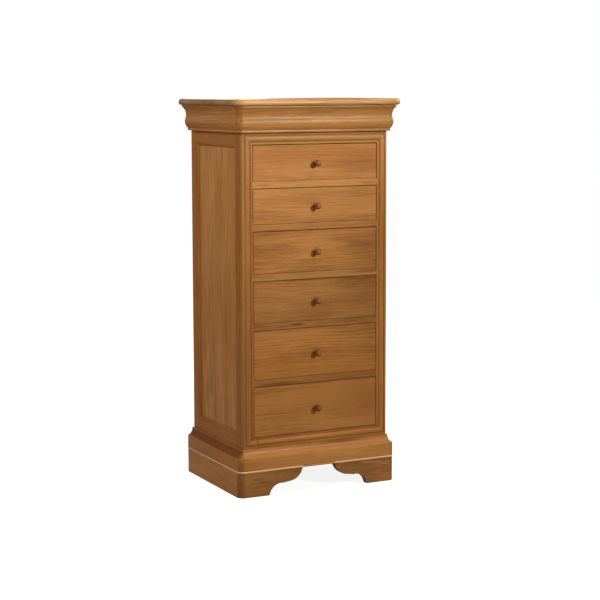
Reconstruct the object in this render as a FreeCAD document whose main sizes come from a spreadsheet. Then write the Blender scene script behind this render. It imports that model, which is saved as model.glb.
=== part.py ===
import FreeCAD, Part
import math
import os
import re
import Sketcher

# A tall narrow chest of seven drawers, one for each day of the week: six plain graduated
# drawers with turned knobs, and a seventh without a knob whose front is the cornice moulding.
# X points to the right, Y to the back and Z up; the origin lies on the floor, under the middle.

V = FreeCAD.Vector
os.makedirs("parts", exist_ok=True)
doc = FreeCAD.newDocument("Semainier")

# ---------------------------------------------------------------- driving sizes, in millimetres
SIZES = {
    "body_width": 554,
    "body_depth": 430,
    "overhang": 48,
    "top_thickness": 22,
    "top_upper_round": 12.5,
    "top_lower_round": 8.5,
    # plinth
    "foot_height": 85.5,
    "foot_projection": 24.5,
    "foot_length": 88,
    "foot_rise": 38.5,
    "foot_sweep": 52,
    "foot_shoulder": 30,
    "foot_shoulder_rise": 4,
    "foot_lobe": 45,
    "foot_sweep_bow": 8.5,
    "foot_lobe_bow": 10,
    "plinth_projection": 25,
    "fascia_height": 49.5,
    "bead_height": 6.5,
    "bead_bow": 1.8,
    "scotia_rise": 22.5,
    "scotia_bow": 4,
    "plinth_fillet_projection": 8,
    "plinth_fillet_height": 5.5,
    # cornice
    "lip_gap": 1,
    "lip_height": 8,
    "lip_projection": 14,
    "bulge": 25,
    "bulge_step": 12,
    "bulge_rise": 24,
    "hollow_rise": 23.5,
    "hollow_radius": 34,
    "cavetto_rise": 28.5,
    "cornice_fillet_height": 6,
    # face frame
    "frame_width": 39,
    "frame_proud": 4,
    "frame_rebate": 14,
    "frame_edge_round": 2.5,
    "band_width": 9,
    "quirk_width": 2,
    "quirk_depth": 1.5,
    "torus_width": 19,
    "torus_bow": 5,
    "mitre_margin": 1,
    "mitre_start": 20,
    # panelled sides
    "stile_thickness": 22,
    "front_stile_width": 52,
    "rear_stile_width": 43,
    "side_rail_width": 41,
    "side_rail_tail": 60,
    "panel_thickness": 10,
    "panel_recess": 9,
    "panel_groove": 8,
    "strip_width": 10,
    "strip_height": 7.5,
    "strip_land": 2,
    "strip_bow": 2,
    # back
    "back_thickness": 8,
    "back_rebate": 8,
    "back_low": 100,
    # drawers
    "drawer_height_1": 124,
    "drawer_height_2": 122,
    "drawer_height_3": 146,
    "drawer_height_4": 146,
    "drawer_height_5": 169,
    "drawer_height_6": 174,
    "rail_height": 23,
    "rail_depth": 45,
    "drawer_inset": 1.5,
    "side_gap": 2,
    "upper_gap": 2.4,
    "lower_gap": 0.7,
    "drawer_rear_clearance": 21,
    "front_thickness": 20,
    "front_ease": 0.8,
    "side_thickness": 12,
    "box_headroom": 8,
    "dovetail_length": 14,
    "dovetail_neck": 13,
    "dovetail_flare": 3,
    "bottom_thickness": 6,
    "bottom_lift": 9,
    "bottom_groove": 5,
    "cornice_box_lift": 4,
    "running_gap": 0.3,
    "cornice_gap": 0.5,
    "runner_thickness": 18,
    "runner_ledge_width": 20,
    "runner_guide": 16,
    # knobs
    "knob_drop": 4,
    "knob_length": 29,
    "knob_radius": 11,
    "knob_head": 10.5,
    "knob_crown": 3.5,
    "knob_crown_radius": 8.7,
    "knob_neck_radius": 5.6,
}

sheet = doc.addObject("Spreadsheet::Sheet", "Sizes")
for row, (alias, size) in enumerate(SIZES.items(), start=1):
    sheet.set(f"A{row}", alias)
    sheet.set(f"B{row}", str(size))
    sheet.setAlias(f"B{row}", alias)
doc.recompute()

DRAWERS = (1, 2, 3, 4, 5, 6)
TAILS = {1: 3, 2: 3, 3: 4, 4: 4, 5: 5, 6: 5}
nodes = []


# ---------------------------------------------------------------- helpers
def formula(text):
    """The expression with every size name pointing at the sheet."""
    return re.sub(r"[a-z_]+[a-z_0-9]*", lambda m: f"Sizes.{m[0]}" if m[0] in SIZES else m[0], text)


def value(text):
    return float(sheet.evalExpression(formula(text)))


def bind(obj, target, text):
    obj.setExpression(target, formula(text))


def node(name, obj):
    """Files an object as a sub-part of the chest."""
    obj.Label = name
    nodes.append(obj)
    return obj


def bow_radius(chord, bow):
    """Radius of an arc from its chord and how far it bows out of it."""
    return f"(({chord}) ^ 2 / 4 + ({bow}) ^ 2) / (2 * ({bow}))"


def box(name, x, y, z):
    """A straight board between pairs of low and high places."""
    board = doc.addObject("Part::Box", name)
    for side, axis, (low, high) in zip(("Length", "Width", "Height"), "xyz", (x, y, z)):
        bind(board, side, f"({high}) - ({low})")
        bind(board, f"Placement.Base.{axis}", low)
    return board


def cut(name, base, tools):
    """The base with every tool's shape taken away."""
    for number, tool in enumerate(tools, start=1):
        result = doc.addObject("Part::Cut", f"{name}_{number}")
        result.Base = base
        result.Tool = tool
        base = result
    return base


def mirrored(name, source):
    """The same piece on the other side of the chest."""
    twin = doc.addObject("Part::Mirroring", name)
    twin.Source = source
    twin.Normal = V(1, 0, 0)
    return twin


def group(name, members):
    compound = doc.addObject("Part::Compound", name)
    compound.Links = members
    return compound


def new_body(name):
    return doc.addObject("PartDesign::Body", name)


def origin_plane(body, role):
    return next(feature for feature in body.Origin.OriginFeatures if feature.Role == role)


def blank_sketch(body, role, offset):
    """A sketch on one of the body's origin planes, moved along the plane's own x, y and normal."""
    sketch = body.newObject("Sketcher::SketchObject", f"{body.Name}_{role}")
    sketch.AttachmentSupport = [(origin_plane(body, role), "")]
    sketch.MapMode = "FlatFace"
    for axis, text in zip("xyz", offset):
        bind(sketch, f"AttachmentOffset.Base.{axis}", text)
    return sketch


def arc_edge(start, end, radius, turn):
    """The short arc from start to end, its centre to the left or the right of the way."""
    chord = end - start
    to_centre = V(-chord.y, chord.x, 0).normalize() * (1 if turn == "left" else -1)
    centre = (start + end) * 0.5 + to_centre * (radius ** 2 - chord.Length ** 2 / 4) ** 0.5
    first, last = (start, end) if turn == "left" else (end, start)
    angles = [math.atan2(point.y - centre.y, point.x - centre.x) for point in (first, last)]
    return Part.ArcOfCircle(Part.Circle(centre, V(0, 0, 1), radius), *angles)


def draw_outlines(sketch, outlines):
    """Closed outlines, each a list of corners (x, y), or (x, y, radius, turn) before an arc."""
    edges = []
    rules = []
    bound = []
    for corners in outlines:
        first = len(edges)
        count = len(corners)
        places = [V(value(corner[0]), value(corner[1]), 0) for corner in corners]
        ends = []
        for index, corner in enumerate(corners):
            start, end = places[index], places[(index + 1) % count]
            if len(corner) == 2:
                edges.append(Part.LineSegment(start, end))
                ends.append((1, 2))
                continue
            edges.append(arc_edge(start, end, value(corner[2]), corner[3]))
            ends.append((1, 2) if corner[3] == "left" else (2, 1))
        for index in range(count):
            following = (index + 1) % count
            rules.append(Sketcher.Constraint("Coincident", first + index, ends[index][1],
                                             first + following, ends[following][0]))
        for index, corner in enumerate(corners):
            start = ends[index][0]
            for kind, text, place in (("DistanceX", corner[0], places[index].x),
                                      ("DistanceY", corner[1], places[index].y)):
                bound.append((len(rules), text))
                rules.append(Sketcher.Constraint(kind, first + index, start, place))
            if len(corner) > 2:
                bound.append((len(rules), corner[2]))
                rules.append(Sketcher.Constraint("Radius", first + index, value(corner[2])))
    sketch.addGeometry(edges, False)
    sketch.addConstraint(rules)
    for number, text in bound:
        bind(sketch, f"Constraints[{number}]", text)
    return sketch


def outline(body, role, corners, offset=("0", "0", "0")):
    return draw_outlines(blank_sketch(body, role, offset), [corners])


def rectangle(low_x, low_y, high_x, high_y):
    return [(low_x, low_y), (high_x, low_y), (high_x, high_y), (low_x, high_y)]


def pad(body, sketch, length, backwards=False):
    feature = body.newObject("PartDesign::Pad", f"{body.Name}_pad")
    feature.Profile = sketch
    bind(feature, "Length", length)
    feature.Reversed = backwards
    doc.recompute()
    return feature


def pocket(body, sketch, depth, backwards=False):
    """A cut of the given depth, or right through where no depth is given."""
    before = body.Tip.Shape.Volume
    feature = body.newObject("PartDesign::Pocket", f"{body.Name}_pocket")
    feature.Profile = sketch
    if depth is None:
        feature.Type = "ThroughAll"
    else:
        bind(feature, "Length", depth)
    feature.Reversed = backwards
    doc.recompute()
    if feature.Shape.Volume >= before:
        raise RuntimeError(f"{feature.Name} cuts nothing")
    return feature


def turn_about_upright(body, sketch, degrees, backwards=False):
    """Turns the sketch about its own upright axis."""
    feature = body.newObject("PartDesign::Revolution", f"{body.Name}_turn")
    feature.Profile = sketch
    feature.ReferenceAxis = (sketch, ["V_Axis"])
    feature.Angle = degrees
    feature.Reversed = backwards
    doc.recompute()
    return feature


def mirror_feature(body, feature):
    """Repeats a feature on the other side of the chest's middle plane."""
    twin = body.newObject("PartDesign::Mirrored", f"{body.Name}_mirror")
    twin.Originals = [feature]
    twin.MirrorPlane = (origin_plane(body, "YZ_Plane"), [""])
    body.Tip = twin
    doc.recompute()
    return twin


def lies_on(edge, axis, place):
    """Whether the whole edge lies on one level of an axis."""
    return all(abs(getattr(point, axis) - place) < 0.01 for point in edge.discretize(5))


def ease(body, kind, target, size, wanted):
    """A fillet or a chamfer on the edges that the test wants."""
    base = body.Tip
    names = [f"Edge{number}" for number, edge in enumerate(base.Shape.Edges, start=1) if wanted(edge)]
    feature = body.newObject(f"PartDesign::{kind}", f"{body.Name}_{kind.lower()}")
    feature.Base = (base, names)
    bind(feature, target, size)
    doc.recompute()
    return feature


# ---------------------------------------------------------------- shared places
HALF = "(body_width / 2)"
FRONT = "((overhang - body_depth) / 2)"
REAR = "((overhang + body_depth) / 2)"
FACE = f"({FRONT} - frame_proud)"
REBATE = f"({FRONT} + frame_rebate)"
BASE_HEIGHT = "(foot_height + fascia_height + scotia_rise + plinth_fillet_height)"
OPENING_LOW = f"({BASE_HEIGHT} + frame_width)"
OPENING_HALF = f"({HALF} - frame_width)"
INNER_HALF = f"({HALF} - stile_thickness)"
CORNICE_HEIGHT = "(lip_height + bulge_rise + hollow_rise + cavetto_rise + cornice_fillet_height)"


def drawer_low(number):
    """Underside of a drawer's opening: the bottom one stands on the face frame."""
    below = "".join(f" + drawer_height_{lower} + rail_height" for lower in DRAWERS if lower > number)
    return f"({OPENING_LOW}{below})"


OPENING_HIGH = f"({drawer_low(1)} + drawer_height_1)"
FRAME_TOP = f"({OPENING_HIGH} + frame_width)"
CORNICE_LOW = f"({FRAME_TOP} + lip_gap)"
UNDER_TOP = f"({CORNICE_LOW} + {CORNICE_HEIGHT})"
DRAWER_REAR = f"({REAR} - back_thickness - drawer_rear_clearance)"
BOX_HALF = f"({OPENING_HALF} - side_gap)"
DRAWER_FACE = f"({FACE} + drawer_inset)"
FRONT_BACK = f"({DRAWER_FACE} + front_thickness)"
PANEL_LOW = f"({BASE_HEIGHT} + side_rail_width)"
PANEL_HIGH = f"({FRAME_TOP} - side_rail_width)"
PANEL_FRONT = f"({FRONT} + front_stile_width)"
PANEL_REAR = f"({REAR} - rear_stile_width)"
STILE_X = (f"-{HALF}", f"-{INNER_HALF}")
GROOVE_X = (f"-{HALF} + panel_recess", f"-{HALF} + panel_recess + panel_thickness")


# ---------------------------------------------------------------- top board
def top_board():
    """One board with a bullnose on the front and both ends and quarter-round front corners."""
    body = new_body("top")
    side = f"({HALF} + overhang)"
    nose = f"({FRONT} - overhang)"
    corners = [
        (f"-{side}", REAR),
        (f"-{side}", FRONT, "overhang", "left"),
        (f"-{HALF}", nose),
        (HALF, nose, "overhang", "left"),
        (side, FRONT),
        (side, REAR),
    ]
    sketch = outline(body, "XY_Plane", corners, ("0", "0", UNDER_TOP))
    pad(body, sketch, "top_thickness")
    rear = value(REAR)
    for level, size in ((f"{UNDER_TOP} + top_thickness", "top_upper_round"), (UNDER_TOP, "top_lower_round")):
        rim = value(level)
        ease(body, "Fillet", "Radius", size,
             lambda edge: lies_on(edge, "z", rim) and not lies_on(edge, "y", rear))
    node("top_board", body)


# ---------------------------------------------------------------- cornice
def cornice_outline(inner, height):
    """Section of the cornice, the wall at x = 0: lip, bulge, hollow and fillet, from below."""
    radius = "(((bulge_rise) ^ 2 + (bulge_step) ^ 2) / (2 * bulge_step))"
    centre = f"(bulge - {radius})"
    top_of_lip = "lip_height"
    bulge_level = "(lip_height + bulge_rise)"
    hollow_level = f"({bulge_level} + hollow_rise)"
    span = f"({radius} + hollow_radius)"
    hollow_centre = f"({centre} + sqrt({span} ^ 2 - hollow_rise ^ 2))"
    meet_x = f"({centre} + ({hollow_centre} - {centre}) * {radius} / {span})"
    meet_z = f"({bulge_level} + hollow_rise * {radius} / {span})"
    end_x = f"({hollow_centre} - sqrt(hollow_radius ^ 2 - cavetto_rise ^ 2))"
    end_z = f"({hollow_level} + cavetto_rise)"
    return [
        (f"-({inner})", "0"),
        ("-lip_projection", "0"),
        ("-lip_projection", top_of_lip),
        ("-(bulge - bulge_step)", top_of_lip, radius, "right"),
        (f"-{meet_x}", meet_z, "hollow_radius", "left"),
        (f"-{end_x}", end_z),
        (f"-{end_x}", height),
        (f"-({inner})", height),
    ]


def wrap_front(body, corners, low):
    """Runs a section along the front and turns it round both corners of the case."""
    sketch = outline(body, "YZ_Plane", corners, (FRONT, low, f"-{HALF}"))
    pad(body, sketch, "body_width")
    corner = turn_about_upright(body, sketch, 90, backwards=True)
    mirror_feature(body, corner)


def run_side(body, corners, low, gap):
    """Runs a section along the left side from the back to a gap short of the front corner."""
    sketch = outline(body, "XZ_Plane", corners, (f"-{HALF}", low, f"-{REAR}"))
    pad(body, sketch, f"{REAR} - {FRONT} - {gap}")


def cornice_sides():
    body = new_body("cornice")
    run_side(body, cornice_outline("0", CORNICE_HEIGHT), CORNICE_LOW, "cornice_gap")
    node("cornice_left", body)
    node("cornice_right", mirrored("cornice_twin", body))


# ---------------------------------------------------------------- panelled sides
def side_frames():
    """Stiles that run down to the floor, two rails, and a loose panel in their grooves."""
    panel_y = (f"{PANEL_FRONT} - panel_groove", f"{PANEL_REAR} + panel_groove")
    panel_z = (f"{PANEL_LOW} - panel_groove", f"{PANEL_HIGH} + panel_groove")
    between = (PANEL_FRONT, PANEL_REAR)
    panel = box("panel", GROOVE_X, panel_y, panel_z)
    frame_seat = box("frame_seat", STILE_X, (FRONT, REBATE), (BASE_HEIGHT, FRAME_TOP))
    back_seat = box("back_seat", (f"-({INNER_HALF} + back_rebate)", f"-{INNER_HALF}"),
                    (f"{REAR} - back_thickness", REAR), ("back_low", UNDER_TOP))
    front = box("front_post", STILE_X, (FRONT, PANEL_FRONT), ("0", UNDER_TOP))
    rear = box("rear_post", STILE_X, (PANEL_REAR, REAR), ("0", UNDER_TOP))
    upper = box("upper_rail", STILE_X, between, (PANEL_HIGH, UNDER_TOP))
    tail = f"{PANEL_LOW} - side_rail_width - side_rail_tail"
    lower = box("lower_rail", STILE_X, between, (tail, PANEL_LOW))
    pieces = {
        "front_stile": cut("front_stile", front, [frame_seat, panel]),
        "rear_stile": cut("rear_stile", rear, [back_seat, panel]),
        "side_top_rail": cut("side_top_rail", upper, [panel]),
        "side_bottom_rail": cut("side_bottom_rail", lower, [panel]),
        "side_panel": panel,
    }
    for name, piece in pieces.items():
        node(f"{name}_left", piece)
        node(f"{name}_right", mirrored(f"{name}_twin", piece))


# ---------------------------------------------------------------- mitred frames
def mitred_member(name, corners, width, length):
    """A moulding cut at 45 degrees at both ends. Its outer edge lies on x = 0 and it faces -Y."""
    body = new_body(name)
    pad(body, outline(body, "XY_Plane", corners), length)
    inner = f"({width} + mitre_margin)"
    foot = [("-mitre_margin", "-mitre_margin"), (inner, "-mitre_margin"), (inner, inner)]
    head = [
        ("-mitre_margin", f"{length} + mitre_margin"),
        (inner, f"{length} - {inner}"),
        (inner, f"{length} + mitre_margin"),
    ]
    plane = blank_sketch(body, "XZ_Plane", ("0", "0", "mitre_start"))
    pocket(body, draw_outlines(plane, [foot, head]), None)
    return body


def mitred_frame(name, corners, width, breadth, height, corner, turn):
    """Four members round a rectangle: left, top, right and bottom, seen from the face."""
    x, y, z = corner
    reach = ((0, 0), (0, 1), (1, 1), (1, 0))
    members = []
    for index, (along, up) in enumerate(reach):
        length = height if index % 2 == 0 else breadth
        member = mitred_member(f"{name}_{index + 1}", corners, width, f"({length})")
        member.Placement.Rotation = turn * FreeCAD.Rotation(V(0, 1, 0), 90 * index)
        across = turn.multVec(V(along, 0, 0))
        bind(member, "Placement.Base.x", f"{x} + ({breadth}) * {round(across.x)}")
        bind(member, "Placement.Base.y", f"{y} + ({breadth}) * {round(across.y)}")
        bind(member, "Placement.Base.z", f"{z} + ({height}) * {up}")
        members.append(member)
    return members


def face_frame():
    """The moulded frame round the drawers: rounded outer band, torus between quirks, inner flat."""
    floor = "-(frame_proud - quirk_depth)"
    torus_start = "(band_width + quirk_width)"
    torus_end = f"({torus_start} + torus_width)"
    corners = [
        ("0", "frame_rebate"),
        ("0", "-(frame_proud - frame_edge_round)", "frame_edge_round", "left"),
        ("frame_edge_round", "-frame_proud"),
        ("band_width", "-frame_proud"),
        ("band_width", floor),
        (torus_start, floor, bow_radius("torus_width", "torus_bow"), "left"),
        (torus_end, floor),
        (f"{torus_end} + quirk_width", floor),
        (f"{torus_end} + quirk_width", "-frame_proud"),
        ("frame_width", "-frame_proud"),
        ("frame_width", "frame_rebate"),
    ]
    members = mitred_frame("face_frame", corners, "frame_width", "body_width",
                           f"{FRAME_TOP} - {BASE_HEIGHT}", (f"-{HALF}", FRONT, BASE_HEIGHT),
                           FreeCAD.Rotation())
    for side, member in zip(("left", "top", "right", "bottom"), members):
        node(f"face_frame_{side}", member)


def panel_mouldings():
    """A small ovolo strip, mitred round the inside of each side frame."""
    ovolo_chord = "sqrt((strip_width - strip_land) ^ 2 + strip_height ^ 2)"
    corners = [
        ("0", "0"),
        ("0", "-strip_height"),
        ("strip_land", "-strip_height", bow_radius(ovolo_chord, "strip_bow"), "left"),
        ("strip_width", "0"),
    ]
    members = mitred_frame("strip", corners, "strip_width", f"{PANEL_REAR} - {PANEL_FRONT}",
                           f"{PANEL_HIGH} - {PANEL_LOW}",
                           (f"-{HALF} + panel_recess", PANEL_REAR, PANEL_LOW),
                           FreeCAD.Rotation(V(0, 0, 1), -90))
    strips = group("strips", members)
    node("panel_moulding_left", strips)
    node("panel_moulding_right", mirrored("strips_twin", strips))


# ---------------------------------------------------------------- plinth
def base_mouldings():
    """Fascia with a bead along its lower edge, and a scotia and fillet above it."""
    top_of_scotia = "(fascia_height + scotia_rise)"
    scotia_chord = "sqrt(scotia_rise ^ 2 + (plinth_projection - plinth_fillet_projection) ^ 2)"
    corners = [
        ("0", "0"),
        ("-plinth_projection", "0", bow_radius("bead_height", "bead_bow"), "right"),
        ("-plinth_projection", "bead_height"),
        ("-plinth_projection", "fascia_height", bow_radius(scotia_chord, "scotia_bow"), "left"),
        ("-plinth_fillet_projection", top_of_scotia),
        ("-plinth_fillet_projection", f"{top_of_scotia} + plinth_fillet_height"),
        ("0", f"{top_of_scotia} + plinth_fillet_height"),
    ]
    front = new_body("base_front")
    wrap_front(front, corners, "foot_height")
    node("base_moulding_front", front)
    side = new_body("base_side")
    run_side(side, corners, "foot_height", "0")
    node("base_moulding_left", side)
    node("base_moulding_right", mirrored("base_side_twin", side))


def feet():
    """Bracket feet with a scrolled inner edge, and a plain board along each side."""
    foot_end = f"(-{HALF} + foot_length)"
    sweep_end = f"({foot_end} + foot_sweep)"
    shoulder_end = f"({sweep_end} + foot_shoulder)"
    shoulder = "(foot_rise + foot_shoulder_rise)"
    sweep_chord = "sqrt(foot_sweep ^ 2 + foot_rise ^ 2)"
    lobe_chord = f"sqrt(foot_lobe ^ 2 + (foot_height - {shoulder}) ^ 2)"
    scroll = [
        (f"-{HALF}", "0"),
        (foot_end, "0", bow_radius(sweep_chord, "foot_sweep_bow"), "right"),
        (sweep_end, "foot_rise"),
        (shoulder_end, shoulder, bow_radius(lobe_chord, "foot_lobe_bow"), "left"),
        (f"{shoulder_end} + foot_lobe", "foot_height"),
        (f"-{HALF}", "foot_height"),
    ]
    foot = new_body("foot")
    pad(foot, outline(foot, "XZ_Plane", scroll, ("0", "0", f"-{FRONT}")), "foot_projection")
    post = rectangle("-foot_projection", "0", "0", "foot_height")
    turn_about_upright(foot, outline(foot, "YZ_Plane", post, (FRONT, "0", f"-{HALF}")), 90, backwards=True)
    node("front_foot_left", foot)
    node("front_foot_right", mirrored("foot_twin", foot))
    board = box("foot_board", (f"-{HALF} - foot_projection", f"-{HALF}"), (FRONT, REAR), ("0", "foot_height"))
    node("side_foot_board_left", board)
    node("side_foot_board_right", mirrored("foot_board_twin", board))


# ---------------------------------------------------------------- inside the case
def drawer_rails():
    """The rails between the drawers, wider behind the face frame to meet the stiles."""
    rear = f"({FACE} + rail_depth)"
    plan = [
        (f"-{OPENING_HALF}", FACE),
        (OPENING_HALF, FACE),
        (OPENING_HALF, REBATE),
        (INNER_HALF, REBATE),
        (INNER_HALF, rear),
        (f"-{INNER_HALF}", rear),
        (f"-{INNER_HALF}", REBATE),
        (f"-{OPENING_HALF}", REBATE),
    ]
    for number in DRAWERS[1:]:
        body = new_body(f"rail_{number - 1}")
        level = f"{drawer_low(number)} + drawer_height_{number}"
        pad(body, outline(body, "XY_Plane", plan, ("0", "0", level)), "rail_height")
        node(f"drawer_rail_{number - 1}", body)


def runner(name, level, front):
    """An L of wood: the drawer's side slides on its foot and along its upright."""
    low = f"{level} - runner_thickness"
    bearing = f"-({OPENING_HALF} - runner_ledge_width)"
    corners = [
        (f"-{INNER_HALF}", low),
        (bearing, low),
        (bearing, level),
        (f"-{OPENING_HALF}", level),
        (f"-{OPENING_HALF}", f"{level} + runner_guide"),
        (f"-{INNER_HALF}", f"{level} + runner_guide"),
    ]
    body = new_body(name)
    rear = f"({REAR} - back_thickness)"
    pad(body, outline(body, "XZ_Plane", corners, ("0", "0", f"-{rear}")), f"{rear} - {front}")
    return body


def drawer_runners():
    behind_rail = f"({FACE} + rail_depth)"
    rows = [(drawer_low(number), behind_rail) for number in DRAWERS[:-1]]
    rows.append((drawer_low(DRAWERS[-1]), REBATE))
    rows.append((f"({FRAME_TOP} + cornice_box_lift)", REBATE))
    pieces = []
    for number, (level, front) in enumerate(rows, start=1):
        left = runner(f"runner_{number}", level, front)
        pieces += [left, mirrored(f"runner_twin_{number}", left)]
    node("drawer_runners", group("runners", pieces))


def back_panel():
    half = f"({INNER_HALF} + back_rebate)"
    board = box("back", (f"-{half}", half), (f"{REAR} - back_thickness", REAR), ("back_low", UNDER_TOP))
    node("back_panel", board)


# ---------------------------------------------------------------- drawers
def tail_centre(index, count, low, high):
    return f"({low} + (({high}) - ({low})) * {index + 0.5} / {count})"


def tail_corners(index, count, low, high, back):
    """A dovetail seen from the side, from its neck at the back to its wide end and back again."""
    middle = tail_centre(index, count, low, high)
    neck = "dovetail_neck / 2"
    wide = "(dovetail_neck / 2 + dovetail_flare)"
    end = f"{back} - dovetail_length"
    return [
        (back, f"{middle} + {neck}"),
        (end, f"{middle} + {wide}"),
        (end, f"{middle} - {wide}"),
        (back, f"{middle} - {neck}"),
    ]


def drawer_front(number, low, box_low, box_high):
    """Solid front with an eased face, half-blind dovetail sockets, a groove for the bottom, and a knob."""
    body = new_body(f"front_{number}")
    bottom = f"({low} + lower_gap)"
    top = f"({low} + drawer_height_{number} - upper_gap)"
    face = rectangle(f"-{BOX_HALF}", bottom, BOX_HALF, top)
    board = outline(body, "XZ_Plane", face, ("0", "0", f"-{DRAWER_FACE}"))
    pad(body, board, "front_thickness", backwards=True)
    face_y = value(DRAWER_FACE)
    ease(body, "Chamfer", "Size", "front_ease", lambda edge: lies_on(edge, "y", face_y))
    count = TAILS[number]
    tails = [tail_corners(index, count, box_low, box_high, FRONT_BACK) for index in range(count)]
    sockets = draw_outlines(blank_sketch(body, "YZ_Plane", ("0", "0", f"-{BOX_HALF}")), tails)
    mirror_feature(body, pocket(body, sockets, "side_thickness", backwards=True))
    reach = f"({BOX_HALF} - side_thickness + bottom_groove)"
    slot = rectangle(f"-{reach}", f"{box_low} + bottom_lift",
                     reach, f"{box_low} + bottom_lift + bottom_thickness")
    groove = outline(body, "XZ_Plane", slot, ("0", "0", f"-{FRONT_BACK}"))
    pocket(body, groove, "bottom_groove", backwards=True)
    pieces = [body, knob(number, f"{low} + drawer_height_{number} / 2 - knob_drop")]
    node(f"drawer_{number}_front", group(f"front_and_knob_{number}", pieces))


def knob(number, level):
    """A turned knob: slender neck, flared head and a low crown."""
    body = new_body(f"knob_{number}")
    crown_chord = "(2 * knob_crown_radius)"
    corners = [
        ("0", "0"),
        ("knob_neck_radius", "0"),
        ("knob_radius", "-(knob_length - knob_head)"),
        ("knob_crown_radius", "-(knob_length - knob_crown)", bow_radius(crown_chord, "knob_crown"), "right"),
        ("0", "-knob_length"),
    ]
    sketch = outline(body, "XY_Plane", corners, ("0", DRAWER_FACE, level))
    turn_about_upright(body, sketch, 360)
    return body


def drawer_sides(name, box_low, box_high, front, tails):
    """A pair of sides with their dovetails at the front and a groove for the bottom."""
    body = new_body(f"{name}_side")
    profile = [(front, box_high)]
    for index in reversed(range(tails)):
        profile += tail_corners(index, tails, box_low, box_high, front)
    profile += [(front, box_low), (DRAWER_REAR, box_low), (DRAWER_REAR, box_high)]
    pad(body, outline(body, "YZ_Plane", profile, ("0", "0", f"-{BOX_HALF}")), "side_thickness")
    slot = rectangle(f"{front} - bottom_groove", f"{box_low} + bottom_lift",
                     DRAWER_REAR, f"{box_low} + bottom_lift + bottom_thickness")
    groove = outline(body, "YZ_Plane", slot, ("0", "0", f"-({BOX_HALF} - side_thickness)"))
    pocket(body, groove, "bottom_groove")
    return [body, mirrored(f"{name}_side_twin", body)]


def cross_board(name, box_low, box_high, front):
    """A board between the sides that stands on the drawer's bottom."""
    inner = f"({BOX_HALF} - side_thickness)"
    height = (f"{box_low} + bottom_lift + bottom_thickness", box_high)
    return box(name, (f"-{inner}", inner), (front, f"{front} + side_thickness"), height)


def drawer_bottom(name, box_low, front):
    """A loose panel held in the grooves of the sides, under the back."""
    reach = f"({BOX_HALF} - side_thickness + bottom_groove)"
    height = (f"{box_low} + bottom_lift", f"{box_low} + bottom_lift + bottom_thickness")
    node(f"{name}_bottom", box(f"{name}_floor", (f"-{reach}", reach), (front, DRAWER_REAR), height))


BACK_FRONT = f"({DRAWER_REAR} - side_thickness)"


def drawers():
    for number in DRAWERS:
        name = f"drawer_{number}"
        low = drawer_low(number)
        box_low = f"({low} + running_gap)"
        box_high = f"({low} + drawer_height_{number} - box_headroom)"
        drawer_front(number, low, box_low, box_high)
        sides = drawer_sides(name, box_low, box_high, FRONT_BACK, TAILS[number])
        node(f"{name}_sides", group(f"{name}_pair", sides))
        node(f"{name}_back", cross_board(f"{name}_rear", box_low, box_high, BACK_FRONT))
        drawer_bottom(name, box_low, f"{FRONT_BACK} - bottom_groove")


def cornice_drawer():
    """The seventh drawer: its front is the cornice itself, pulled by the lip."""
    body = new_body("cornice_front")
    wrap_front(body, cornice_outline("cornice_gap", f"{CORNICE_HEIGHT} - lip_gap"), CORNICE_LOW)
    node("cornice_drawer_front", body)
    name = "cornice_drawer"
    front = f"({FRONT} - cornice_gap)"
    box_low = f"({FRAME_TOP} + cornice_box_lift + running_gap)"
    box_high = f"({UNDER_TOP} - box_headroom)"
    boards = drawer_sides(name, box_low, box_high, front, 0)
    boards.append(cross_board(f"{name}_rear", box_low, box_high, BACK_FRONT))
    boards.append(cross_board(f"{name}_inner_front", box_low, box_high, front))
    node(f"{name}_box", group(f"{name}_boards", boards))
    drawer_bottom(name, box_low, front)


top_board()
cornice_sides()
side_frames()
panel_mouldings()
face_frame()
drawer_rails()
back_panel()
base_mouldings()
feet()
drawer_runners()
drawers()
cornice_drawer()
doc.recompute()

for obj in doc.Objects:
    if "Invalid" in obj.State or "Error" in obj.State:
        raise RuntimeError(f"{obj.Label}: {obj.State}")
for obj in nodes:
    if obj.Shape.isNull() or not obj.Shape.isValid():
        raise RuntimeError(f"{obj.Label} has no sound shape")
    obj.Shape.exportStep(f"parts/{obj.Label}.step")
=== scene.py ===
import math

import bmesh
import bpy
from mathutils import Matrix, Vector


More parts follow.
